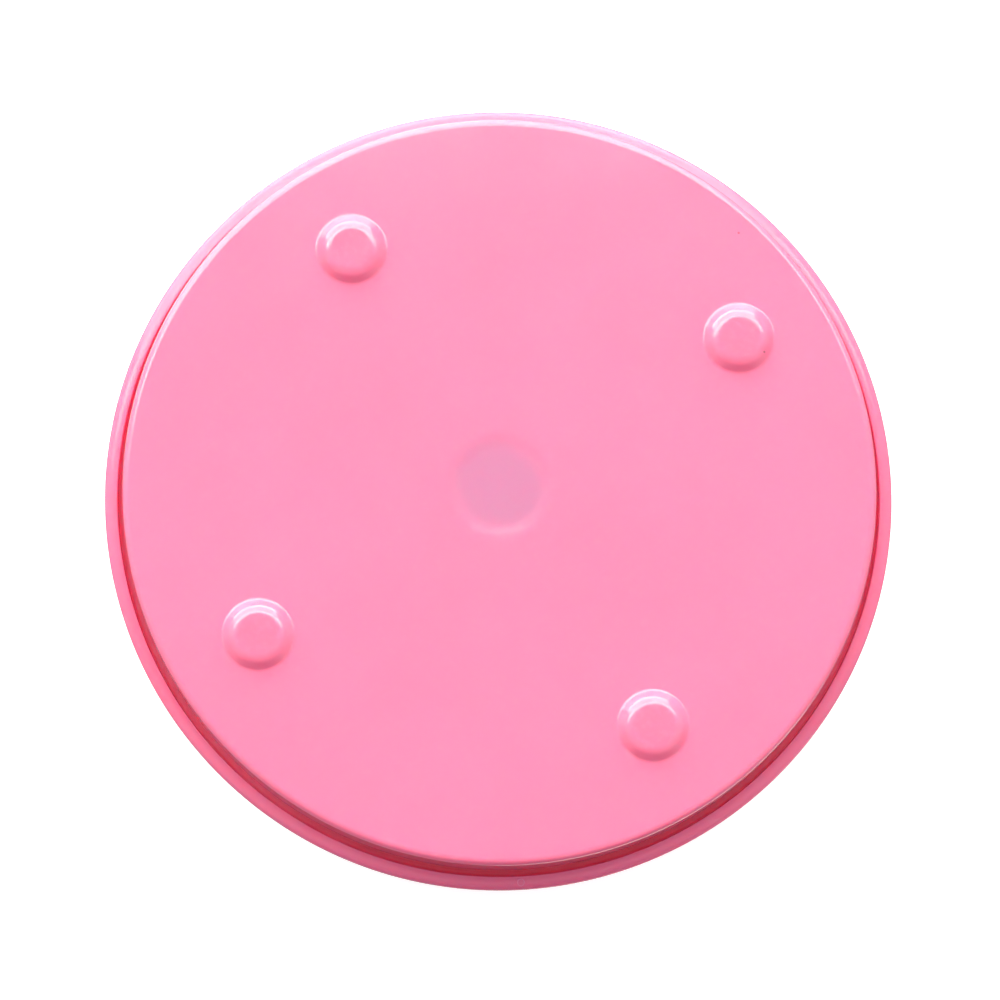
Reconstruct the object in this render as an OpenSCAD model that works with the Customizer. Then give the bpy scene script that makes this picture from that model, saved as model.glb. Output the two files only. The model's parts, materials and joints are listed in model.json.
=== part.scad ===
// Low cake turntable. A round top plate turns on a ring of steel balls inside a
// shallow dish of a base with four domed feet. The feet stand on z = 0, +Z is up,
// and the plate turns about the Z axis.

/* [Top plate] */
// Diameter of the top plate
plate_d = 282.5; // [275:0.5:320]
// Height from the table to the top face
total_h = 30; // [30:0.5:34]
// Thickness of the top plate
plate_t = 3; // [2.6:0.1:3.2]
// Height of the rim that hangs from the plate
rim_h = 9; // [8:0.5:10]
// Width of the rim
rim_w = 4.75; // [4:0.05:5.5]
// Height of the rim's rounded lower edge
rim_round = 2.8; // [2:0.1:3.5]
// Size of the bevel round the top face
top_bevel = 1; // [0.6:0.1:1.5]
// Number of guide rings cut in the top face
guide_count = 5; // [1:1:5]
// Radius of the smallest guide ring
guide_first_r = 40; // [30:1:40]
// Distance from one guide ring to the next
guide_step = 20; // [10:1:20]
// Width of a guide ring's groove
guide_w = 0.8; // [0.6:0.1:1.2]
// Depth of a guide ring's groove
guide_depth = 0.4; // [0.2:0.1:0.6]

/* [Base] */
// Gap between the foot of the base's wall and the inside of the rim
rim_gap = 3.5; // [3.2:0.1:4]
// Thickness of the base's floor
floor_t = 2.5; // [2:0.1:2.8]
// Thickness of the base's wall
wall_t = 2.2; // [1.8:0.1:2.6]
// Radius of the base's rounded bottom edge
corner_r = 2.6; // [2:0.1:3.5]
// Outward lean of the base's wall, in degrees
wall_draft = 3; // [1:0.5:3]
// Radius of the shallow dish under the centre
dish_r = 20; // [16:1:24]
// Depth of that dish
dish_depth = 0.4; // [0.2:0.1:0.6]

/* [Feet] */
// Number of feet
foot_count = 4; // [3:1:4]
// Distance of each foot from the centre
foot_pitch_r = 100; // [96:1:104]
// Radius of a foot's flat face
foot_flat_r = 6.7; // [5:0.1:8]
// Radius of the shoulder round that flat face
foot_shoulder_r = 5.5; // [4:0.1:7]
// Height of a foot
foot_h = 3.5; // [3:0.1:4]
// Slope of a foot's side, in degrees
foot_slope = 45; // [40:1:50]

/* [Ball race] */
// Diameter of a ball
ball_d = 8; // [7:0.5:8]
// Number of balls
ball_count = 16; // [12:1:20]
// Radius of the circle on which the balls run
track_r = 75; // [70:1:80]
// Running gap between a ball and a race
ball_gap = 0.05; // [0.04:0.01:0.1]
// Height of a race ring from its groove side to its back
race_h = 3; // [2.6:0.1:3.2]
// Width of a race ring
race_w = 10; // [9:0.5:11]
// Depth of the groove in a race ring
groove_depth = 1.2; // [0.8:0.1:1.4]
// Thickness of the ball cage
cage_t = 4; // [3:0.5:4]
// Width of the cage's ring
cage_w = 5; // [4:0.5:6]

/* [Pivot] */
// Radius of the post in the middle of the base
post_r = 8; // [7.5:0.1:8.5]
// Radius of the neck on top of the post
neck_r = 5; // [4.5:0.1:5.5]
// Wall thickness of the hub's bush
bush_wall = 3; // [2.5:0.1:3.5]
// Radial gap between the post and the bush
post_gap = 0.05; // [0.02:0.01:0.08]
// Radius of the two washers
washer_r = 10; // [9:0.1:10]
// Radius of the retaining screw's shank
screw_r = 2; // [1.8:0.1:2.2]

/* [Hidden] */
$fn = 96;
ARC_STEPS = 8;
EMBED = 0.5;          // how far one moulded feature runs into the next
SEAT_GAP = 0.03;      // radial gap round a piece that is pushed into its seat

plate_r = plate_d / 2;
plate_low = total_h - plate_t;
rim_low = total_h - rim_h;
rim_in_r = plate_r - rim_w;

lid_gap = 1.5;        // between the top of the base's wall and the plate
floor_low = foot_h;
floor_top = floor_low + floor_t;
base_r = rim_in_r - rim_gap;
wall_top = plate_low - lid_gap;
wall_foot_z = floor_low + corner_r * (1 - sin(wall_draft));
wall_top_r = base_r + (wall_top - wall_foot_z) * tan(wall_draft);

race_in_r = track_r - race_w / 2;
race_out_r = track_r + race_w / 2;
groove_r = ball_d / 2 + 0.25;
lower_race_top = floor_top + race_h;
ball_z = lower_race_top - groove_depth + ball_gap + ball_d / 2;
upper_race_low = ball_z + ball_d / 2 + ball_gap - groove_depth;
upper_race_top = upper_race_low + race_h;
race_rib_t = 1.6;
race_rib_drop = 0.8;  // how far a base rib stops short of the lower race's own face
race_leg_t = 2;       // thickness of the two legs behind the upper race
plate_seat_h = 2.5;   // height of the plate's ribs that hold those legs
pocket_gap = 0.3;
pocket_r = ball_d / 2 + pocket_gap;
mouth_r = sqrt(pow(ball_d / 2, 2) - pow(cage_t / 2, 2)) + pocket_gap;
barrel_h = cage_t * 0.4;
band_t = cage_t * 0.6;
pocket_boss_r = pocket_r + 2;

bush_in_r = post_r + post_gap;
bush_out_r = bush_in_r + bush_wall;
bush_flange_t = 1;
hub_r = bush_out_r + 3;
hub_low = floor_top + 3;
web_t = 2;
thrust_t = 0.6;
washer_t = 1;
head_h = 2.2;
head_r = 2 * screw_r;
cap_t = 1.2;
cap_r = hub_r + 1;
cap_low = total_h - cap_t;
well_r = washer_r + 2;
washer_low = cap_low - head_h - washer_t - 0.35;
web_top = washer_low - thrust_t - 0.05;
web_low = web_top - web_t;
shoulder_z = web_low - 0.7;
post_pad_h = 1.2;
screw_length = 14;
screw_low = washer_low + washer_t - screw_length;

rib_t = 1.6;
base_rib_h = 3.5;
plate_rib_h = 4;
inner_rib_count = 8;
outer_rib_count = 16;
rib_wall_gap = 4;     // from the plate's outer ribs to the base's wall

foot_side_run = (foot_h - foot_shoulder_r * (1 - cos(foot_slope))) / tan(foot_slope);
foot_r = foot_flat_r + foot_shoulder_r * sin(foot_slope) + foot_side_run;

pip_angle = 74;
pip_r = 1.4;
pip_proud = 0.2;
pip_place_r = rim_in_r + 2.2;

function arc_points(centre_x, centre_z, r, from, to) = [
    for (i = [0 : ARC_STEPS])
        let (a = from + (to - from) * i / ARC_STEPS)
        [centre_x + r * cos(a), centre_z + r * sin(a)]
];

function ball_name(i) = str("ball_", i < 10 ? "0" : "", i);

// A ring of rectangular section about the Z axis
module ring(in_r, out_r, low, high) {
    rotate_extrude()
        translate([in_r, low])
            square([out_r - in_r, high - low]);
}

// Straight ribs that run outwards like spokes
module spokes(count, in_r, out_r, low, high) {
    for (i = [0 : count - 1])
        rotate([0, 0, (i + 0.5) * 360 / count])
            translate([in_r, -rib_t / 2, low])
                cube([out_r - in_r, rib_t, high - low]);
}

// The base's floor with its dished centre, rounded bottom edge and leaning wall
module dish() {
    rotate_extrude()
        polygon(concat(
            [[0, floor_low + dish_depth], [dish_r - 4, floor_low + dish_depth], [dish_r, floor_low]],
            arc_points(base_r - corner_r * cos(wall_draft), floor_low + corner_r, corner_r,
                       -90, -wall_draft),
            [[wall_top_r, wall_top], [wall_top_r - wall_t, wall_top]],
            [[base_r - wall_t, floor_top], [0, floor_top]]
        ));
}

// Outside of one foot: a flat face, a round shoulder and a straight sloping side
module foot_dome() {
    rotate_extrude()
        polygon(concat(
            [[0, 0]],
            arc_points(foot_flat_r, foot_shoulder_r, foot_shoulder_r, -90, foot_slope - 90),
            [[foot_r, foot_h], [foot_r, foot_h + EMBED], [0, foot_h + EMBED]]
        ));
}

// Hollow inside one foot, open to the inside of the base
module foot_hollow() {
    rotate_extrude()
        polygon([
            [0, floor_t], [foot_flat_r - 1, floor_t], [foot_r - floor_t, foot_h + 0.5],
            [foot_r - floor_t, floor_top + 1], [0, floor_top + 1]
        ]);
}

module at_feet() {
    for (i = [0 : foot_count - 1])
        rotate([0, 0, (i + 0.5) * 360 / foot_count])
            translate([foot_pitch_r, 0, 0])
                children();
}

// The post on which the plate turns, with its pad and its bored neck
module post() {
    difference() {
        rotate_extrude()
            polygon([
                [0, floor_top - EMBED], [dish_r, floor_top - EMBED], [dish_r, floor_top],
                [post_r + 3, floor_top + post_pad_h], [post_r, floor_top + post_pad_h],
                [post_r, shoulder_z], [neck_r, shoulder_z], [neck_r, washer_low], [0, washer_low]
            ]);
        translate([0, 0, screw_low - 1])
            cylinder(h = total_h, r = screw_r - 0.2);
    }
}

module base_shell() {
    color("hotpink") {
        difference() {
            union() {
                dish();
                at_feet() foot_dome();
            }
            at_feet() foot_hollow();
        }
        post();
        ring(race_in_r - SEAT_GAP - race_rib_t, race_in_r - SEAT_GAP,
             floor_top - EMBED, lower_race_top - race_rib_drop);
        ring(race_out_r + SEAT_GAP, race_out_r + SEAT_GAP + race_rib_t,
             floor_top - EMBED, lower_race_top - race_rib_drop);
        spokes(inner_rib_count, dish_r - 2, race_in_r - race_rib_t, floor_top - EMBED,
               floor_top + base_rib_h - 1.5);
        spokes(outer_rib_count, race_out_r + race_rib_t, base_r - wall_t + EMBED,
               floor_top - EMBED, floor_top + base_rib_h);
    }
}

// Section of a race ring with its groove on top and its back at z = 0
module race_section() {
    difference() {
        translate([race_in_r, 0])
            square([race_w, race_h]);
        translate([track_r, race_h - groove_depth + groove_r])
            circle(r = groove_r);
    }
}

// Section of one leg behind the upper race. in_r is the leg's inner radius.
module leg_section(in_r) {
    leg_h = plate_low - upper_race_top;
    translate([in_r, -leg_h])
        square([race_leg_t, leg_h + EMBED]);
}

module lower_race() {
    color("white")
        translate([0, 0, floor_top])
            rotate_extrude()
                race_section();
}

// The upper race hangs on two legs that reach up to the plate
module upper_race() {
    color("white")
        translate([0, 0, upper_race_top])
            rotate_extrude()
                mirror([0, 1]) {
                    race_section();
                    leg_section(race_in_r);
                    leg_section(race_out_r - race_leg_t);
                }
}

// The flat plate and its hanging rim, with the guide rings cut in the top face
module plate_disc() {
    rotate_extrude()
        difference() {
            polygon(concat(
                [[well_r, plate_low], [rim_in_r, plate_low]],
                [for (i = [0 : ARC_STEPS])
                    let (a = 90 * i / ARC_STEPS)
                    [rim_in_r + rim_w * sin(a), rim_low + rim_round * (1 - cos(a))]],
                [[plate_r, total_h - top_bevel], [plate_r - top_bevel, total_h]],
                [[cap_r + SEAT_GAP, total_h], [cap_r + SEAT_GAP, cap_low], [well_r, cap_low]]
            ));
            for (i = [0 : guide_count - 1])
                translate([guide_first_r + i * guide_step, total_h - guide_depth])
                    square([guide_w, 2 * guide_depth]);
        }
}

// The tube under the plate that holds the bush, with its web across the top
module hub() {
    rotate_extrude()
        polygon([
            [bush_out_r, hub_low], [hub_r, hub_low], [hub_r, plate_low + EMBED],
            [well_r, plate_low + EMBED], [well_r, web_top], [neck_r + 0.3, web_top],
            [neck_r + 0.3, web_low], [bush_out_r, web_low]
        ]);
}

// Small round moulding mark on the lower edge of the rim
module rim_pip() {
    rotate([0, 0, pip_angle])
        translate([pip_place_r, 0, rim_low - pip_proud])
            cylinder(h = EMBED + pip_proud, r = pip_r);
}

module top_plate() {
    color("pink") {
        plate_disc();
        hub();
        ring(race_in_r - SEAT_GAP - race_rib_t, race_in_r - SEAT_GAP,
             plate_low - plate_seat_h, plate_low + EMBED);
        ring(race_out_r + SEAT_GAP, race_out_r + SEAT_GAP + race_rib_t,
             plate_low - plate_seat_h, plate_low + EMBED);
        rim_pip();
        spokes(inner_rib_count, hub_r - EMBED, race_in_r - race_rib_t, plate_low - plate_rib_h,
               plate_low + EMBED);
        spokes(outer_rib_count, race_out_r + race_rib_t, wall_top_r - wall_t - rib_wall_gap,
               plate_low - plate_rib_h, plate_low + EMBED);
    }
}

module hub_bush() {
    color("ivory") {
        ring(bush_in_r, bush_out_r, hub_low - EMBED, web_low);
        ring(bush_in_r, hub_r - 1, hub_low - bush_flange_t, hub_low);
    }
}

module thrust_washer() {
    color("ivory")
        ring(neck_r + 0.3, washer_r, web_top, web_top + thrust_t);
}

module retaining_washer() {
    color("silver")
        ring(screw_r + 0.2, washer_r, washer_low, washer_low + washer_t);
}

// Self-tapping screw with a domed head and a cross recess
module retaining_screw() {
    head_low = washer_low + washer_t;
    color("silver")
        difference() {
            rotate_extrude()
                polygon(concat(
                    [[0, screw_low], [screw_r - 1, screw_low], [screw_r, screw_low + 3],
                     [screw_r, head_low], [head_r, head_low]],
                    [for (i = [0 : ARC_STEPS])
                        let (a = 90 * i / ARC_STEPS)
                        [head_r * cos(a), head_low + 1 + (head_h - 1) * sin(a)]]
                ));
            for (turn = [0, 90])
                rotate([0, 0, turn])
                    translate([-head_r * 0.55, -0.4, head_low + head_h - 1.2])
                        cube([head_r * 1.1, 0.8, 2]);
        }
}

// Flush cap over the screw, with a snap ring below and a centre mark on top
module centre_cap() {
    color("pink")
        difference() {
            union() {
                ring(0, cap_r, cap_low, total_h);
                ring(well_r - 1.1, well_r - SEAT_GAP, cap_low - 2, cap_low + EMBED);
            }
            translate([0, 0, total_h - 0.5])
                cylinder(h = 1, r = 1.2);
        }
}

// Barrel-shaped pocket for one ball, narrower at both mouths than the ball
module pocket() {
    rotate_extrude()
        polygon([
            [0, -cage_t], [mouth_r, -cage_t], [mouth_r, -cage_t / 2], [pocket_r, -barrel_h / 2],
            [pocket_r, barrel_h / 2], [mouth_r, cage_t / 2], [mouth_r, cage_t], [0, cage_t]
        ]);
}

// Ring with a round boss at each ball and a pocket in each boss
module ball_cage() {
    color("whitesmoke")
        difference() {
            union() {
                ring(track_r - cage_w / 2, track_r + cage_w / 2, ball_z - band_t / 2,
                     ball_z + band_t / 2);
                for (i = [1 : ball_count])
                    at_ball(i)
                        translate([0, 0, -cage_t / 2])
                            cylinder(h = cage_t, r = pocket_boss_r);
            }
            for (i = [1 : ball_count])
                at_ball(i)
                    pocket();
        }
}

module at_ball(i) {
    rotate([0, 0, (i - 1) * 360 / ball_count])
        translate([track_r, 0, ball_z])
            children();
}

module ball(i) {
    color("lightgrey")
        at_ball(i)
            sphere(r = ball_d / 2);
}

base_shell();
lower_race();
retaining_washer();
retaining_screw();
top_plate();
upper_race();
hub_bush();
thrust_washer();
centre_cap();
ball_cage();
for (i = [1 : ball_count])
    ball(i);
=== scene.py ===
"""Cake turntable seen from below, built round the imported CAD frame.

The two pink mouldings and the cap in the top face are rebuilt as smooth meshes. The bearing and
the fixings inside keep their CAD shapes and get their own finishes.
"""
import json
import math

import bmesh
import bpy
from mathutils import Matrix, Vector


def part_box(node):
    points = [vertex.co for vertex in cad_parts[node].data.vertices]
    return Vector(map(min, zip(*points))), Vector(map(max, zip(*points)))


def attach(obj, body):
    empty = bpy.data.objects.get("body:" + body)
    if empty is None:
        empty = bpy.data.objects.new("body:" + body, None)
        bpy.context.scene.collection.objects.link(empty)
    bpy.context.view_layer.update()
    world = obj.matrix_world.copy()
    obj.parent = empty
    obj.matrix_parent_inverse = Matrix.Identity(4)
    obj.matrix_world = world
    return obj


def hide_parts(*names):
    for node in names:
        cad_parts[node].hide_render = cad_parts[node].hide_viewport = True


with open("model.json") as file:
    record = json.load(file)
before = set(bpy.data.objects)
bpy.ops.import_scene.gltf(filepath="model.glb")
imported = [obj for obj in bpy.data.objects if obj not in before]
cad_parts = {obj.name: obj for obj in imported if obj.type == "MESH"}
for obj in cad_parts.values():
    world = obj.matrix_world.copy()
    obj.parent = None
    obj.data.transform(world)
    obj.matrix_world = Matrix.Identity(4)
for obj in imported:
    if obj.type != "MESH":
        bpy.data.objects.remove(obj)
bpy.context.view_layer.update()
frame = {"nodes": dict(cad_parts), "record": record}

MM = 0.001
SEGMENTS = 256          # round a large turned piece
SMALL_SEGMENTS = 96     # round a foot, a pip or a groove in a small piece
ARC_STEPS = 7           # in each rounded corner
SUPPORT = 0.12 * MM     # flat strip beside a rounded corner, which keeps its neighbours flat
CORNER_SHARE = 0.7      # how much of an edge the rounding at one end may take
EMBED = 0.4 * MM        # how far a rib runs into the wall that carries it
EDGE_R = 0.3 * MM       # rounding of a small edge
TIGHT_R = EDGE_R / 3    # rounding of an inside corner or of a close fit
SOFT_R = 1 * MM         # rounding where a wall meets a floor
RIB_BEVEL = 0.15 * MM
ON_AXIS = 1e-9          # a smaller radius counts as a point on the axis


def radius_of(node):
    """Outer radius of a round CAD node, no larger than its mesh."""
    low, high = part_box(node)
    return min(high.x, high.y, -low.x, -low.y)


def low_of(node):
    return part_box(node)[0].z


def top_of(node):
    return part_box(node)[1].z


MOUNTS = {m["name"]: m for m in frame["record"]["mounts"]}
FOOT_X, FOOT_Y, FOOT_Z = MOUNTS["feet_rest"]["pos_m"]
FOOT_PITCH = math.hypot(FOOT_X, FOOT_Y)
FOOT_ANGLE = math.atan2(FOOT_Y, FOOT_X)
FOOT_COUNT = 4

# Heights and radii that the base and the plate share with the bearing between them
PLATE_R = radius_of("top_plate")
PLATE_TOP = top_of("top_plate")
PLATE_T = 3 * MM
PLATE_LOW = PLATE_TOP - PLATE_T
HUB_LOW = low_of("top_plate")
RIM_H = 9 * MM
RIM_LOW = PLATE_TOP - RIM_H
RIM_W = 4.75 * MM
RIM_IN = PLATE_R - RIM_W
FLOOR_TOP = low_of("lower_race")
FLOOR_T = 2.5 * MM
FLOOR_LOW = FLOOR_TOP - FLOOR_T
RACE_OUT = radius_of("lower_race")
RACE_W = 10 * MM
RACE_IN = RACE_OUT - RACE_W
RACE_RIB_W = 1.6 * MM
SEAT_GAP = 0.03 * MM
LOWER_RACE_TOP = top_of("lower_race")
RIB_W = 1.6 * MM
INNER_RIBS = 8
OUTER_RIBS = 16


# ---------------------------------------------------------------- outlines

def arc(centre, radius, start, end, steps=ARC_STEPS):
    """Points of an arc in the (radius, height) plane, with angles in degrees."""
    points = []
    for i in range(steps + 1):
        a = math.radians(start + (end - start) * i / steps)
        points.append((centre[0] + radius * math.cos(a), centre[1] + radius * math.sin(a)))
    return points


def fillet(before, corner, after, radius):
    """The arc that rounds a corner, with a support point before and after it."""
    corner = Vector(corner)
    to_before = Vector(before) - corner
    to_after = Vector(after) - corner
    half = to_before.angle(to_after) / 2
    reach = radius / math.tan(half)
    limit = CORNER_SHARE * min(to_before.length, to_after.length)
    if reach > limit:
        reach = limit
        radius = reach * math.tan(half)
    to_before.normalize()
    to_after.normalize()
    centre = corner + (to_before + to_after).normalized() * (radius / math.sin(half))
    start = corner + to_before * reach
    end = corner + to_after * reach
    first = start - centre
    sweep = first.angle_signed(end - centre)
    points = []
    for i in range(ARC_STEPS + 1):
        a = -sweep * i / ARC_STEPS
        c, s = math.cos(a), math.sin(a)
        points.append(centre + Vector((first.x * c - first.y * s, first.x * s + first.y * c)))
    support = min(SUPPORT, 0.1 * limit)
    return [tuple(p) for p in [start + to_before * support, *points, end + to_after * support]]


def rounded(corners, closed=False):
    """An outline from (radius, height, rounding) corners. The ends of an open one stay sharp."""
    points = []
    count = len(corners)
    for i, (r, z, rounding) in enumerate(corners):
        at_end = not closed and i in (0, count - 1)
        if rounding == 0 or at_end:
            points.append((r, z))
            continue
        before = corners[i - 1][:2]
        after = corners[(i + 1) % count][:2]
        points.extend(fillet(before, (r, z), after, rounding))
    return points


# ---------------------------------------------------------------- meshes

def turn(bm, outline, place=Matrix.Identity(4), segments=SEGMENTS, closed=False):
    """Turns an outline about the Z axis of place. Returns a ring of vertices for each point."""
    rings = []
    for r, z in outline:
        if r < ON_AXIS:
            rings.append([bm.verts.new(place @ Vector((0, 0, z)))])
            continue
        ring = []
        for i in range(segments):
            a = 2 * math.pi * i / segments
            ring.append(bm.verts.new(place @ Vector((r * math.cos(a), r * math.sin(a), z))))
        rings.append(ring)
    pairs = list(zip(rings, rings[1:]))
    if closed:
        pairs.append((rings[-1], rings[0]))
    for low, high in pairs:
        join(bm, low, high, segments)
    return rings


def join(bm, low, high, segments):
    """Faces between two rings, either of which may be a single vertex on the axis."""
    for i in range(segments):
        j = (i + 1) % segments
        if len(low) == 1:
            bm.faces.new((low[0], high[j], high[i]))
        elif len(high) == 1:
            bm.faces.new((low[i], low[j], high[0]))
        else:
            bm.faces.new((low[i], low[j], high[j], high[i]))


def fill_flat(bm, loops):
    """Fills the flat area between an outer loop of vertices and the loops inside it."""
    edges = []
    for loop in loops:
        for a, b in zip(loop, loop[1:] + loop[:1]):
            edges.append(bm.edges.get((a, b)) or bm.edges.new((a, b)))
    bmesh.ops.triangle_fill(bm, use_beauty=True, edges=edges)


def rib(bm, angle, inner, outer, low, high):
    """A straight rib that points outwards at an angle, with bevelled edges."""
    place = Matrix.Rotation(angle, 4, "Z")
    half = RIB_W / 2
    corners = []
    for z in (low, high):
        for x, y in ((inner, -half), (outer, -half), (outer, half), (inner, half)):
            corners.append(bm.verts.new(place @ Vector((x, y, z))))
    faces = [(3, 2, 1, 0), (4, 5, 6, 7)]
    faces += [(i, (i + 1) % 4, 4 + (i + 1) % 4, 4 + i) for i in range(4)]
    made = [bm.faces.new([corners[i] for i in face]) for face in faces]
    edges = {e for face in made for e in face.edges}
    bmesh.ops.bevel(bm, geom=list(edges), offset=RIB_BEVEL, segments=2, affect="EDGES")


def ribs(bm, count, inner, outer, low, high):
    for i in range(count):
        rib(bm, (i + 0.5) * 2 * math.pi / count, inner, outer, low, high)


def finish_piece(bm, name, body, slot, material, *replaced):
    """Turns the mesh into a smooth object that rides on a body and stands for CAD nodes."""
    bmesh.ops.recalc_face_normals(bm, faces=bm.faces)
    mesh = bpy.data.meshes.new(name)
    bm.to_mesh(mesh)
    bm.free()
    mesh.shade_smooth()
    mesh.materials.append(material)
    piece = bpy.data.objects.new(name, mesh)
    bpy.context.scene.collection.objects.link(piece)
    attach(piece, body)
    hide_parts(*replaced)
    return piece


# ---------------------------------------------------------------- the base

BASE_WALL_T = 2.2 * MM
WALL_DRAFT = math.radians(3)
CORNER_R = 2.6 * MM
RIM_GAP = 3.5 * MM
WALL_CLEARANCE = 1.5 * MM     # from the wall up to the plate
WALL_TOP = PLATE_LOW - WALL_CLEARANCE
WALL_TOP_ROUND = 0.5 * MM
FLOOR_CORNER_R = 1.2 * MM
WALL_FOOT_R = RIM_IN - RIM_GAP
WALL_TOP_R = WALL_FOOT_R + (WALL_TOP - FLOOR_LOW) * math.tan(WALL_DRAFT)
DISH_R = 20 * MM
DISH_SLOPE = 7 * MM
DISH_DEPTH = 0.4 * MM
DISH_STEPS = 16
DISH_MARGIN = 4 * MM         # flat floor that is turned with the dish
FOOT_FLAT_R = 6.7 * MM
FOOT_SHOULDER_R = 5.5 * MM
FOOT_SLOPE = math.radians(45)
FOOT_BLEND_R = 1.6 * MM
SHOULDER_END_R = FOOT_FLAT_R + FOOT_SHOULDER_R * math.sin(FOOT_SLOPE)
SHOULDER_END_Z = FOOT_Z + FOOT_SHOULDER_R * (1 - math.cos(FOOT_SLOPE))
FOOT_ROOT_R = SHOULDER_END_R + (FLOOR_LOW - SHOULDER_END_Z) / math.tan(FOOT_SLOPE)
FOOT_ZONE_IN = 84 * MM      # the feet and their hollows lie between these two radii
FOOT_ZONE_OUT = 118 * MM
FOOT_SKIN = 2.5 * MM
HOLLOW_R = FOOT_ROOT_R - FOOT_SKIN
HOLLOW_LOW = 2.5 * MM
HOLLOW_ROUND = 0.5 * MM
HOLLOW_INSET = 1 * MM
POST_R = 8 * MM
POST_PAD_W = 3 * MM
POST_PAD_H = 1.2 * MM
NECK_R = 5 * MM
NECK_H = 3.35 * MM
NECK_TOP = low_of("retaining_washer")
POST_SHOULDER = NECK_TOP - NECK_H
SCREW_BORE_R = 1.8 * MM
SCREW_TIP_GAP = 1 * MM
SCREW_BORE_LOW = low_of("retaining_screw") - SCREW_TIP_GAP
RACE_RIB_DROP = 0.8 * MM      # how far a rib stops short of the lower race's face
BASE_INNER_RIB_H = 2 * MM
BASE_OUTER_RIB_H = 3.5 * MM
RIB_REACH = 2 * MM            # how far an inner rib runs over the dish


def dish_outline():
    """The underside from its centre to the flat floor, with a soft slope round the dish."""
    points = [(0, FLOOR_LOW + DISH_DEPTH)]
    for i in range(DISH_STEPS + 1):
        share = i / DISH_STEPS
        depth = DISH_DEPTH * (1 + math.cos(math.pi * share)) / 2
        points.append((DISH_R - DISH_SLOPE * (1 - share), FLOOR_LOW + depth))
    points.append((DISH_R + SUPPORT, FLOOR_LOW))
    points.append((DISH_R + DISH_MARGIN, FLOOR_LOW))
    return points


def foot_outline():
    """A foot from the floor to its middle: blend, straight slope, round shoulder, flat face."""
    slope = math.degrees(FOOT_SLOPE)
    start_r = FOOT_ROOT_R + FOOT_BLEND_R * math.tan(FOOT_SLOPE / 2)
    blend = arc((start_r, FLOOR_LOW - FOOT_BLEND_R), FOOT_BLEND_R, 90, 90 + slope)
    shoulder = arc((FOOT_FLAT_R, FOOT_Z + FOOT_SHOULDER_R), FOOT_SHOULDER_R,
                   slope - 90, -90, 2 * ARC_STEPS)
    middle = [(FOOT_FLAT_R - SUPPORT, FOOT_Z), (0, FOOT_Z)]
    return [(start_r + SUPPORT, FLOOR_LOW)] + blend + shoulder + middle


def hollow_outline():
    """The hollow inside a foot, from the floor of the base down to its bottom."""
    return rounded([
        (HOLLOW_R + HOLLOW_ROUND, FLOOR_TOP, 0),
        (HOLLOW_R, FLOOR_TOP, EDGE_R),
        (HOLLOW_R, FLOOR_LOW + HOLLOW_ROUND, HOLLOW_ROUND),
        (FOOT_FLAT_R - HOLLOW_INSET, HOLLOW_LOW, HOLLOW_ROUND),
        (0, HOLLOW_LOW, 0)])


def wall_outline():
    """Round the outside of the base: floor edge, rounded corner, leaning wall, floor inside."""
    inner_top = WALL_TOP_R - BASE_WALL_T
    return rounded([
        (FOOT_ZONE_OUT, FLOOR_LOW, 0),
        (WALL_FOOT_R, FLOOR_LOW, CORNER_R),
        (WALL_TOP_R, WALL_TOP, WALL_TOP_ROUND),
        (inner_top, WALL_TOP, WALL_TOP_ROUND),
        (WALL_FOOT_R - BASE_WALL_T, FLOOR_TOP, FLOOR_CORNER_R),
        (FOOT_ZONE_OUT, FLOOR_TOP, 0)])


def post_outline():
    """The floor inside, from the feet to the middle: race ribs, pad, post, neck and bore."""
    rib_top = LOWER_RACE_TOP - RACE_RIB_DROP
    outer = RACE_OUT + SEAT_GAP
    inner = RACE_IN - SEAT_GAP
    return rounded([
        (FOOT_ZONE_IN, FLOOR_TOP, 0),
        (outer + RACE_RIB_W, FLOOR_TOP, EDGE_R), (outer + RACE_RIB_W, rib_top, EDGE_R),
        (outer, rib_top, EDGE_R), (outer, FLOOR_TOP, TIGHT_R),
        (inner, FLOOR_TOP, TIGHT_R), (inner, rib_top, EDGE_R),
        (inner - RACE_RIB_W, rib_top, EDGE_R), (inner - RACE_RIB_W, FLOOR_TOP, EDGE_R),
        (DISH_R, FLOOR_TOP, SOFT_R), (POST_R + POST_PAD_W, FLOOR_TOP + POST_PAD_H, SOFT_R),
        (POST_R, FLOOR_TOP + POST_PAD_H, EDGE_R), (POST_R, POST_SHOULDER, EDGE_R),
        (NECK_R, POST_SHOULDER, EDGE_R), (NECK_R, NECK_TOP, EDGE_R),
        (SCREW_BORE_R, NECK_TOP, TIGHT_R), (SCREW_BORE_R, SCREW_BORE_LOW, TIGHT_R),
        (0, SCREW_BORE_LOW, 0)])


def build_base(material):
    bm = bmesh.new()
    dish = turn(bm, dish_outline())
    wall = turn(bm, wall_outline())
    post = turn(bm, post_outline())
    feet, hollows = [], []
    for k in range(FOOT_COUNT):
        a = FOOT_ANGLE + k * 2 * math.pi / FOOT_COUNT
        place = Matrix.Translation((FOOT_PITCH * math.cos(a), FOOT_PITCH * math.sin(a), 0))
        feet.append(turn(bm, foot_outline(), place, SMALL_SEGMENTS)[0])
        hollows.append(turn(bm, hollow_outline(), place, SMALL_SEGMENTS)[0])
    fill_flat(bm, [wall[0], dish[-1], *feet])
    fill_flat(bm, [wall[-1], post[0], *hollows])
    ribs(bm, INNER_RIBS, DISH_R - RIB_REACH, RACE_IN - RACE_RIB_W,
         FLOOR_TOP - EMBED, FLOOR_TOP + BASE_INNER_RIB_H)
    ribs(bm, OUTER_RIBS, RACE_OUT + RACE_RIB_W, WALL_FOOT_R - BASE_WALL_T + EMBED,
         FLOOR_TOP - EMBED, FLOOR_TOP + BASE_OUTER_RIB_H)
    return finish_piece(bm, "base_moulding", "base", "base_plastic", material, "base_shell")


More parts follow.
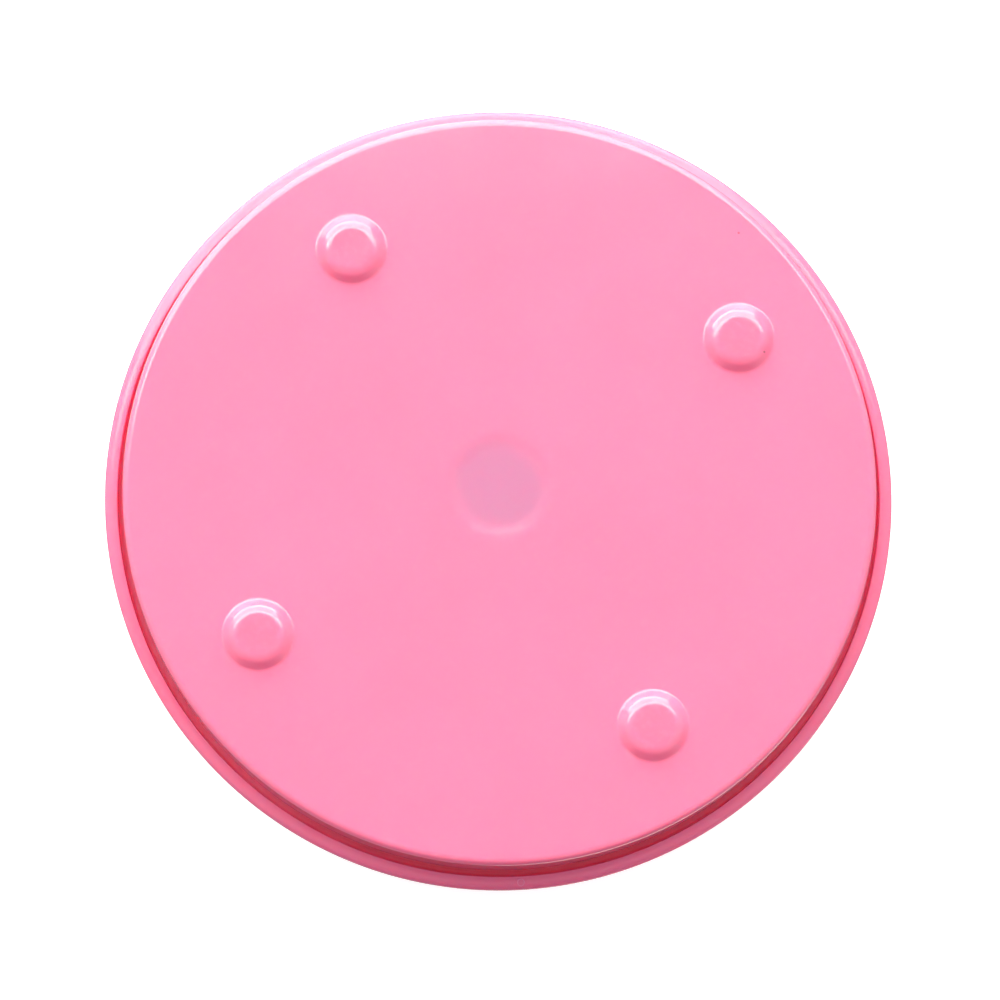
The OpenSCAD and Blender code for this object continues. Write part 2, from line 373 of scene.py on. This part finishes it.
# ---------------------------------------------------------------- the plate

TOP_BEVEL = 1 * MM
RIM_ROUND = 2.8 * MM
RACE_SEAT_H = 2.5 * MM
WEB_TOP = low_of("thrust_washer")
WEB_LOW = top_of("hub_bush")
WEB_HOLE_R = 5.3 * MM
WELL_R = 12 * MM
BUSH_SEAT_R = 11.05 * MM
HUB_WALL = 3 * MM
HUB_R = BUSH_SEAT_R + HUB_WALL
CAP_R = radius_of("centre_cap")
CAP_T = 1.2 * MM
CAP_LOW = PLATE_TOP - CAP_T
SNAP_W = 1.1 * MM
CAP_MARK_R = 1.2 * MM
CAP_MARK_DEPTH = 0.5 * MM
CAP_MARK_ROUND = 0.2 * MM
PLATE_RIB_H = 4 * MM
RIB_WALL_GAP = 4 * MM
GUIDE_COUNT = 5
GUIDE_FIRST = 40            # radius of the smallest guide ring, in mm
GUIDE_STEP = 20             # from one guide ring to the next, in mm
GUIDE_RINGS = [(GUIDE_FIRST + GUIDE_STEP * i) * MM for i in range(GUIDE_COUNT)]
GUIDE_W = 0.8 * MM
GUIDE_DEPTH = 0.4 * MM
GUIDE_SLANT = 0.12 * MM
GUIDE_EDGE_R = 0.15 * MM
PIP_ANGLE = math.radians(74)
PIP_PLACE_R = RIM_IN + 2.2 * MM
PIP_R = 1.5 * MM
PIP_LINE_W = 0.3 * MM


def guide_ring(inner):
    """The corners of one shallow groove in the top face."""
    floor = PLATE_TOP - GUIDE_DEPTH
    return [
        (inner, PLATE_TOP, GUIDE_EDGE_R), (inner + GUIDE_SLANT, floor, GUIDE_EDGE_R),
        (inner + GUIDE_W - GUIDE_SLANT, floor, GUIDE_EDGE_R), (inner + GUIDE_W, PLATE_TOP, GUIDE_EDGE_R)]


def race_seat(outer):
    """The corners of one of the two short ribs that hold the upper race."""
    low = PLATE_LOW - RACE_SEAT_H
    inner = outer - RACE_RIB_W
    return [
        (outer, PLATE_LOW, EDGE_R), (outer, low, EDGE_R),
        (inner, low, EDGE_R), (inner, PLATE_LOW, EDGE_R)]


def rim_edge():
    """The rim's lower edge: a quarter of an ellipse from its outer wall to its inner corner."""
    steps = 2 * ARC_STEPS
    points = [(PLATE_R, RIM_LOW + RIM_ROUND + SUPPORT, 0)]
    for i in range(steps):
        a = math.pi / 2 * i / steps
        points.append((RIM_IN + RIM_W * math.cos(a), RIM_LOW + RIM_ROUND * (1 - math.sin(a)), 0))
    points.append((RIM_IN, RIM_LOW, EDGE_R))
    return points


def plate_outline():
    grooves = [corner for inner in GUIDE_RINGS for corner in guide_ring(inner)]
    return rounded([
        (WEB_HOLE_R, WEB_TOP, EDGE_R), (WELL_R, WEB_TOP, EDGE_R), (WELL_R, CAP_LOW, EDGE_R),
        (CAP_R + SEAT_GAP, CAP_LOW, EDGE_R), (CAP_R + SEAT_GAP, PLATE_TOP, TIGHT_R),
        *grooves,
        (PLATE_R, PLATE_TOP, TOP_BEVEL),
        *rim_edge(), (RIM_IN, PLATE_LOW, SOFT_R),
        *race_seat(RACE_OUT + SEAT_GAP + RACE_RIB_W), *race_seat(RACE_IN - SEAT_GAP),
        (HUB_R, PLATE_LOW, SOFT_R), (HUB_R, HUB_LOW, EDGE_R), (BUSH_SEAT_R, HUB_LOW, EDGE_R),
        (BUSH_SEAT_R, WEB_LOW, TIGHT_R), (WEB_HOLE_R, WEB_LOW, EDGE_R)], closed=True)


def build_plate(material):
    bm = bmesh.new()
    turn(bm, plate_outline(), closed=True)
    rib_low = PLATE_LOW - PLATE_RIB_H
    ribs(bm, INNER_RIBS, HUB_R - EMBED, RACE_IN - RACE_RIB_W, rib_low, PLATE_LOW + EMBED)
    ribs(bm, OUTER_RIBS, RACE_OUT + RACE_RIB_W, WALL_TOP_R - BASE_WALL_T - RIB_WALL_GAP,
         rib_low, PLATE_LOW + EMBED)
    return finish_piece(bm, "plate_moulding", "plate", "plate_plastic", material, "top_plate")


def build_cap(material):
    bm = bmesh.new()
    snap_out = WELL_R - SEAT_GAP
    snap_in = WELL_R - SNAP_W
    snap_low = low_of("centre_cap")
    mark_low = PLATE_TOP - CAP_MARK_DEPTH
    turn(bm, rounded([
        (0, mark_low, 0), (CAP_MARK_R * 0.6, mark_low, CAP_MARK_ROUND),
        (CAP_MARK_R, PLATE_TOP, CAP_MARK_ROUND),
        (CAP_R, PLATE_TOP, EDGE_R), (CAP_R, CAP_LOW, TIGHT_R),
        (snap_out, CAP_LOW, TIGHT_R), (snap_out, snap_low, EDGE_R), (snap_in, snap_low, EDGE_R),
        (snap_in, CAP_LOW, TIGHT_R), (0, CAP_LOW, 0)]))
    return finish_piece(bm, "cap_moulding", "plate", "plate_plastic", material, "centre_cap")


# ---------------------------------------------------------------- materials

PINK = (0.92, 0.185, 0.352)
DULL_PINK = (0.51, 0.187, 0.352)
SPECK_RED = (0.35, 0.05, 0.09)
BASE_IOR = 1.7
PLATE_IOR = 1.5
GLOW = {"Subsurface_Weight": 0.7, "Subsurface_Radius": (1.0, 0.07, 0.12)}
BASE_GLOW_DEPTH = 3.5 * MM
PLATE_GLOW_DEPTH = 6 * MM
CAP_GLOW_DEPTH = 0.6 * MM
SCRATCH_SCALE = 1800.0
SCRATCH_STRETCH = 0.02     # the smaller, the longer the hairlines
SCRATCH_ANGLES = (0.5, 2.0)


class Nodes:
    """A material's node tree, with a short way to add and join nodes."""

    def __init__(self, name):
        self.material = bpy.data.materials.new(name)
        self.material.use_nodes = True
        self.tree = self.material.node_tree
        self.tree.nodes.clear()
        self.output = self.add("ShaderNodeOutputMaterial")
        self.place = self.add("ShaderNodeTexCoord").outputs["Object"]

    def add(self, kind, inputs=None, **settings):
        node = self.tree.nodes.new(kind)
        for key, value in settings.items():
            setattr(node, key, value)
        for key, value in (inputs or {}).items():
            self.feed(node.inputs[key], value)
        return node

    def feed(self, socket, value):
        if isinstance(value, bpy.types.NodeSocket):
            self.tree.links.new(value, socket)
        else:
            socket.default_value = value

    def math(self, operation, a, b=0.0, c=0.0):
        node = self.add("ShaderNodeMath", {0: a, 1: b, 2: c}, operation=operation)
        return node.outputs[0]

    def noise(self, scale, detail=4.0, place=None):
        node = self.add("ShaderNodeTexNoise", {
            "Vector": self.place if place is None else place,
            "Scale": scale, "Detail": detail})
        return node.outputs["Fac"]

    def fade(self, value, start, end, low=0.0, high=1.0):
        """Goes smoothly from low to high as value goes from start to end."""
        node = self.add("ShaderNodeMapRange", {
            "Value": value, "From Min": start, "From Max": end, "To Min": low, "To Max": high},
            interpolation_type="SMOOTHSTEP")
        return node.outputs["Result"]

    def mix(self, share, a, b):
        """A colour between a and b. Each may be a colour or a socket."""
        node = self.add("ShaderNodeMix", data_type="RGBA")
        self.feed(node.inputs["Factor"], share)
        for socket, value in ((node.inputs[6], a), (node.inputs[7], b)):
            self.feed(socket, (*value, 1.0) if isinstance(value, tuple) else value)
        return node.outputs[2]

    def axis(self, name):
        return self.add("ShaderNodeSeparateXYZ", {0: self.place}).outputs[name]

    def distance_from_axis(self, x=0.0, y=0.0):
        """Distance in the XY plane from the vertical line through (x, y)."""
        split = self.add("ShaderNodeSeparateXYZ", {0: self.place})
        dx = self.math("SUBTRACT", split.outputs["X"], x)
        dy = self.math("SUBTRACT", split.outputs["Y"], y)
        flat = self.add("ShaderNodeCombineXYZ", {"X": dx, "Y": dy})
        return self.add("ShaderNodeVectorMath", {0: flat.outputs[0]}, operation="LENGTH").outputs["Value"]

    def bump(self, height, distance, strength=1.0, normal=None):
        node = self.add("ShaderNodeBump", {"Height": height, "Distance": distance, "Strength": strength})
        if normal is not None:
            self.feed(node.inputs["Normal"], normal)
        return node.outputs["Normal"]

    def surface(self, colour, roughness, normal, **fixed):
        """Ends the tree in a Principled shader. fixed holds plain values for its sockets."""
        shader = self.add("ShaderNodeBsdfPrincipled", {
            "Base Color": colour, "Roughness": roughness, "Normal": normal})
        for key, value in fixed.items():
            shader.inputs[key.replace("_", " ")].default_value = value
        self.feed(self.output.inputs["Surface"], shader.outputs["BSDF"])
        return self.material


def scaled(colour, share):
    return tuple(min(1.0, c * share) for c in colour)


def tinted(n, colour, amount=0.02, scale=14.0):
    """The colour with slow, cloudy changes, as pigment gives in a moulding."""
    clouds = n.fade(n.noise(scale, 3.0), 0.3, 0.7)
    return n.mix(clouds, scaled(colour, 1 - amount), scaled(colour, 1 + amount))


def moulded_bump(n):
    """Slow sink marks under a fine grain, both far shallower than they are wide."""
    slow = n.bump(n.noise(14.0, 1.0), 0.15 * MM, 0.3)
    return n.bump(n.noise(1500.0, 2.0), 0.004 * MM, 0.5, slow)


def scratches(n):
    """Thin crossing hairlines, from noise stretched along two directions."""
    lines = []
    for turn_by in SCRATCH_ANGLES:
        node = n.add("ShaderNodeMapping", {
            "Vector": n.place, "Rotation": (0, 0, turn_by), "Scale": (1.0, SCRATCH_STRETCH, 1.0)})
        lines.append(n.fade(n.noise(SCRATCH_SCALE, 1.0, node.outputs[0]), 0.72, 0.80))
    return n.math("MAXIMUM", lines[0], lines[1])


# Marks on the underside of the base: (angle in degrees, radius in mm)
SPECKS = ((-60, 125), (-40, 105))


def base_plastic():
    """Pink plastic with scuffed feet, a duller patch in the middle and two specks."""
    n = Nodes("base_plastic")
    colour = tinted(n, PINK)
    radius = n.distance_from_axis()
    height = n.axis("Z")

    ragged = n.math("MULTIPLY_ADD", n.noise(30.0, 3.0), 10 * MM, radius)
    patch = n.fade(ragged, 38 * MM, 15 * MM)
    colour = n.mix(patch, colour, DULL_PINK)

    on_foot = n.fade(height, 0.5 * MM, 0.0)
    scuffs = n.math("MULTIPLY", on_foot, n.fade(n.noise(420.0, 6.0), 0.45, 0.7))
    colour = n.mix(n.math("MULTIPLY", scuffs, 0.25), colour, scaled(PINK, 1.3))

    for angle, r in SPECKS:
        a = math.radians(angle)
        near = n.distance_from_axis(r * MM * math.cos(a), r * MM * math.sin(a))
        colour = n.mix(n.fade(near, 0.5 * MM, 0.25 * MM, 0.0, 0.7), colour, SPECK_RED)

    marks = n.math("MULTIPLY", scratches(n), 0.02)
    roughness = n.math("MULTIPLY_ADD", n.noise(60.0, 4.0), 0.08, 0.10)
    roughness = n.math("ADD", roughness, marks)
    roughness = n.math("MULTIPLY_ADD", on_foot, 0.02, roughness)
    return n.surface(colour, roughness, moulded_bump(n), IOR=BASE_IOR,
                     Subsurface_Scale=BASE_GLOW_DEPTH, **GLOW)


def plate_plastic(name, glow_depth):
    """The same plastic with a painted highlight along the outer edge, broken up by noise, and a pin mark
    under the rim whose ring gets a painted highlight.
    """
    n = Nodes(name)
    colour = tinted(n, PINK)
    radius = n.distance_from_axis()
    # Painted highlight: the outer wall is painted paler in noisy patches, in place of the light it
    # catches at a grazing angle.
    at_edge = n.fade(radius, PLATE_R - 0.5 * MM, PLATE_R - 0.05 * MM)
    edge_highlight = n.math("MULTIPLY", at_edge, n.fade(n.noise(160.0, 5.0), 0.5, 0.75))
    colour = n.mix(n.math("MULTIPLY", edge_highlight, 0.2), colour, scaled(PINK, 1.25))
    ring = pin_ring(n)
    # Painted highlight: the pin mark's ring is painted paler pink. The bump further down gives it its
    # relief.
    colour = n.mix(n.math("MULTIPLY", ring, 0.5), colour, scaled(PINK, 2.0))
    marks = n.math("MULTIPLY", scratches(n), 0.02)
    roughness = n.math("MULTIPLY_ADD", n.noise(50.0, 4.0), 0.08, 0.11)
    roughness = n.math("ADD", roughness, marks)
    normal = n.bump(ring, 0.15 * MM, 1.0, moulded_bump(n))
    return n.surface(colour, roughness, normal, IOR=PLATE_IOR, Subsurface_Scale=glow_depth, **GLOW)


def pin_ring(n):
    """Where the small ring lies that an ejector pin leaves under the rim. It has no geometry."""
    radius = n.distance_from_axis(PIP_PLACE_R * math.cos(PIP_ANGLE), PIP_PLACE_R * math.sin(PIP_ANGLE))
    off_ring = n.math("ABSOLUTE", n.math("SUBTRACT", radius, PIP_R - PIP_LINE_W))
    ridge = n.fade(off_ring, PIP_LINE_W, 0.0)
    low_side = n.fade(n.axis("Z"), PLATE_LOW, RIM_LOW + 3 * MM)
    return n.math("MULTIPLY", ridge, low_side)


def white_acetal():
    n = Nodes("white_acetal")
    colour = tinted(n, (0.80, 0.79, 0.74), 0.03, 90.0)
    roughness = n.math("MULTIPLY_ADD", n.noise(300.0, 3.0), 0.12, 0.36)
    return n.surface(colour, roughness, n.bump(n.noise(2200.0, 2.0), 0.006 * MM, 0.6), IOR=1.48)


def cage_nylon():
    n = Nodes("cage_nylon")
    colour = tinted(n, (0.74, 0.72, 0.62), 0.05, 140.0)
    roughness = n.math("MULTIPLY_ADD", n.noise(500.0, 3.0), 0.15, 0.45)
    return n.surface(colour, roughness, n.bump(n.noise(1800.0, 3.0), 0.01 * MM, 0.7), IOR=1.53)


def zinc_steel():
    n = Nodes("zinc_steel")
    grain = n.add("ShaderNodeTexVoronoi", {"Vector": n.place, "Scale": 900.0}).outputs["Color"]
    crystals = n.add("ShaderNodeSeparateColor", {0: grain}).outputs[0]
    colour = n.mix(crystals, (0.50, 0.51, 0.53), (0.66, 0.67, 0.69))
    roughness = n.math("MULTIPLY_ADD", crystals, 0.18, 0.26)
    return n.surface(colour, roughness, n.bump(n.noise(1200.0, 3.0), 0.008 * MM, 0.6), Metallic=1.0)


def ball_steel():
    n = Nodes("ball_steel")
    colour = tinted(n, (0.60, 0.60, 0.62), 0.04, 400.0)
    roughness = n.math("MULTIPLY_ADD", n.noise(900.0, 4.0), 0.08, 0.08)
    return n.surface(colour, roughness, n.bump(n.noise(2600.0, 2.0), 0.001 * MM, 0.5), Metallic=1.0)


def paint_cad(node, material):
    """Puts a finish on a CAD node that keeps its own shape."""
    for slot in frame["nodes"][node].material_slots:
        slot.material = material


# ---------------------------------------------------------------- stage, light and camera

IMAGE_RIGHT = math.radians(-12.9)   # direction in the XY plane that shows to the right
TILT = math.radians(8.53)           # how far the camera leans down the picture
SWING = math.radians(1.34)          # how far it leans sideways
DISTANCE = 1.057
AIM_DOWN = 5.24 * MM                # the camera aims this far below the middle of the floor
AIM_RIGHT = -0.26 * MM
LENS = 108
SENSOR_W = 36
NEAREST = 0.01
FARTHEST = 50

across = Vector((math.cos(IMAGE_RIGHT), math.sin(IMAGE_RIGHT), 0))
along = Vector((-math.sin(IMAGE_RIGHT), math.cos(IMAGE_RIGHT), 0))
below = Vector((0, 0, -1))


def make_camera():
    """Looks up at the underside, a little from the lower edge of the picture."""
    right = across * math.cos(SWING) + below * math.sin(SWING)
    back = (along * math.sin(TILT) - across * math.cos(TILT) * math.sin(SWING)
            + below * math.cos(TILT) * math.cos(SWING))
    up = back.cross(right)
    aim = Vector((0, 0, FLOOR_LOW)) + right * AIM_RIGHT - up * AIM_DOWN
    data = bpy.data.cameras.new("camera")
    data.lens = LENS
    data.sensor_width = SENSOR_W
    data.clip_start = NEAREST
    data.clip_end = FARTHEST
    camera = bpy.data.objects.new("camera", data)
    camera.matrix_world = Matrix.Translation(aim + back * DISTANCE) @ Matrix(
        (right, up, back)).transposed().to_4x4()
    bpy.context.scene.collection.objects.link(camera)
    bpy.context.scene.camera = camera


def softbox(name, direction, distance, across_angle, up_angle, radiance):
    """A soft rectangular light that faces the object. Its size is given as the angles it fills."""
    width = 2 * distance * math.tan(math.radians(across_angle / 2))
    height = 2 * distance * math.tan(math.radians(up_angle / 2))
    data = bpy.data.lights.new(name, "AREA")
    data.shape = "RECTANGLE"
    data.size = width
    data.size_y = height
    data.energy = radiance * math.pi * width * height
    data.color = LIGHT_TINT
    light = bpy.data.objects.new(name, data)
    middle = Vector((0, 0, (FLOOR_LOW + PLATE_TOP) / 2))
    light.location = middle + direction.normalized() * distance
    light.rotation_euler = direction.to_track_quat("Z", "Y").to_euler()
    light.visible_camera = False
    bpy.context.scene.collection.objects.link(light)


def from_below(image_angle, polar):
    """Direction at an angle from straight below, towards an angle in the picture."""
    a = math.radians(image_angle)
    p = math.radians(polar)
    side = across * math.cos(a) - along * math.sin(a)
    return side * math.sin(p) + below * math.cos(p)


def from_above(azimuth, elevation):
    a = math.radians(azimuth)
    e = math.radians(elevation)
    return Vector((math.cos(a) * math.cos(e), math.sin(a) * math.cos(e), math.sin(e)))


LIGHT_TINT = (1.0, 1.0, 0.80)
WORLD_BELOW = 0.35
WORLD_AROUND = 0.85
WORLD_ABOVE = 0.55
WORLD_DARK_SIDE = 0.15      # share of that light that comes from the lower edge of the picture
BELOW_ENDS = (12, 36)       # degrees from straight below over which WORLD_BELOW gives way
HORIZON_ENDS = (84, 96)     # the same for the step to WORLD_ABOVE
DARK_SIDE_ENDS = (0.5, 0.95)    # cosines from the lower edge of the picture


def make_lights():
    softbox("under_window", from_below(102, 72), 4, 86, 22, 7.0)
    softbox("under_sill", from_below(102, 99), 4, 70, 8, 7.0)
    softbox("under_panel", from_below(100, 48), 4, 80, 14, 5.0)
    softbox("under_strip", from_below(100, 33), 3.8, 80, 5, 6.5)
    softbox("under_card", from_below(95, 26), 3.9, 90, 14, 5.2)
    softbox("top_key", from_above(-130, 60), 1.8, 42, 42, 4.0)
    softbox("top_fill", from_above(40, 50), 2.2, 40, 30, 1.5)


def world_step(tree, value, start, end, low, high):
    """Goes smoothly from low to high as a socket's value goes from start to end."""
    step = tree.nodes.new("ShaderNodeMapRange")
    step.interpolation_type = "SMOOTHSTEP"
    limits = {"From Min": start, "From Max": end, "To Min": low, "To Max": high}
    for key, limit in limits.items():
        step.inputs[key].default_value = limit
    tree.links.new(value, step.inputs["Value"])
    return step.outputs["Result"]


def world_math(tree, operation, a, b):
    node = tree.nodes.new("ShaderNodeMath")
    node.operation = operation
    tree.links.new(a, node.inputs[0])
    tree.links.new(b, node.inputs[1])
    return node.outputs[0]


def make_world():
    """White to the camera. It lights the object softly, and less from the picture's lower edge."""
    world = bpy.data.worlds.new("studio")
    world.use_nodes = True
    tree = world.node_tree
    tree.nodes.clear()
    output = tree.nodes.new("ShaderNodeOutputWorld")
    seen = tree.nodes.new("ShaderNodeBackground")
    seen.inputs["Strength"].default_value = 1.0
    seen.inputs["Color"].default_value = (1, 1, 1, 1)
    direction = tree.nodes.new("ShaderNodeTexCoord").outputs["Generated"]
    split = tree.nodes.new("ShaderNodeSeparateXYZ")
    tree.links.new(direction, split.inputs[0])
    height = split.outputs["Z"]
    below_steps = [-math.cos(math.radians(angle)) for angle in BELOW_ENDS]
    horizon_steps = [-math.cos(math.radians(angle)) for angle in HORIZON_ENDS]
    lower = world_step(tree, height, *below_steps, WORLD_BELOW, WORLD_AROUND)
    upper = world_step(tree, height, *horizon_steps, 0.0, WORLD_ABOVE - WORLD_AROUND)
    sideways = tree.nodes.new("ShaderNodeVectorMath")
    sideways.operation = "DOT_PRODUCT"
    sideways.inputs[1].default_value = along
    tree.links.new(direction, sideways.inputs[0])
    side = world_step(tree, sideways.outputs["Value"], *DARK_SIDE_ENDS, 1.0, WORLD_DARK_SIDE)
    strength = world_math(tree, "MULTIPLY", world_math(tree, "ADD", lower, upper), side)
    lit = tree.nodes.new("ShaderNodeBackground")
    lit.inputs["Color"].default_value = (1, 1, 1, 1)
    tree.links.new(strength, lit.inputs["Strength"])
    path = tree.nodes.new("ShaderNodeLightPath")
    mix = tree.nodes.new("ShaderNodeMixShader")
    tree.links.new(path.outputs["Is Camera Ray"], mix.inputs[0])
    tree.links.new(lit.outputs[0], mix.inputs[1])
    tree.links.new(seen.outputs[0], mix.inputs[2])
    tree.links.new(mix.outputs[0], output.inputs["Surface"])
    bpy.context.scene.world = world


def one_sided(name, shade, light):
    """A plain matt finish on the front of a sheet lit from within, with nothing on its back."""
    n = Nodes(name)
    matt = n.add("ShaderNodeBsdfDiffuse", {"Color": (shade, shade, shade, 1.0)})
    lit = n.add("ShaderNodeEmission", {"Strength": light})
    front = n.add("ShaderNodeAddShader", {0: matt.outputs[0], 1: lit.outputs[0]})
    clear = n.add("ShaderNodeBsdfTransparent")
    facing = n.add("ShaderNodeNewGeometry").outputs["Backfacing"]
    mix = n.add("ShaderNodeMixShader", {0: facing, 1: front.outputs[0], 2: clear.outputs[0]})
    n.feed(n.output.inputs["Surface"], mix.outputs[0])
    return n.material


def make_sheet(name, z, faces_up, shade, light):
    """A large sheet that only the camera sees, and only from its front."""
    half = 12.0
    corners = [(-half, -half, z), (half, -half, z), (half, half, z), (-half, half, z)]
    mesh = bpy.data.meshes.new(name)
    mesh.from_pydata(corners if faces_up else corners[::-1], [], [(0, 1, 2, 3)])
    mesh.materials.append(one_sided(name, shade, light))
    sheet = bpy.data.objects.new(name, mesh)
    bpy.context.scene.collection.objects.link(sheet)
    sheet.visible_diffuse = False
    sheet.visible_glossy = False
    sheet.visible_transmission = False
    sheet.visible_shadow = False


# ---------------------------------------------------------------- the scene

bpy.context.scene.view_settings.view_transform = "Standard"
base_pink = base_plastic()
plate_pink = plate_plastic("plate_plastic", PLATE_GLOW_DEPTH)
cap_pink = plate_plastic("cap_plastic", CAP_GLOW_DEPTH)
build_base(base_pink)
build_plate(plate_pink)
build_cap(cap_pink)

FINISHES = {
    white_acetal(): ["lower_race", "upper_race", "hub_bush", "thrust_washer"],
    cage_nylon(): ["ball_cage"],
    zinc_steel(): ["retaining_washer", "retaining_screw"],
    ball_steel(): [name for name in frame["nodes"] if name.startswith("ball_") and name != "ball_cage"],
}
for finish, nodes in FINISHES.items():
    for node in nodes:
        paint_cad(node, finish)

make_camera()
make_lights()
make_world()
make_sheet("floor", 0.0, True, 0.5, 0.0)
make_sheet("table_under_plate", PLATE_TOP, False, 0.8, 0.65)
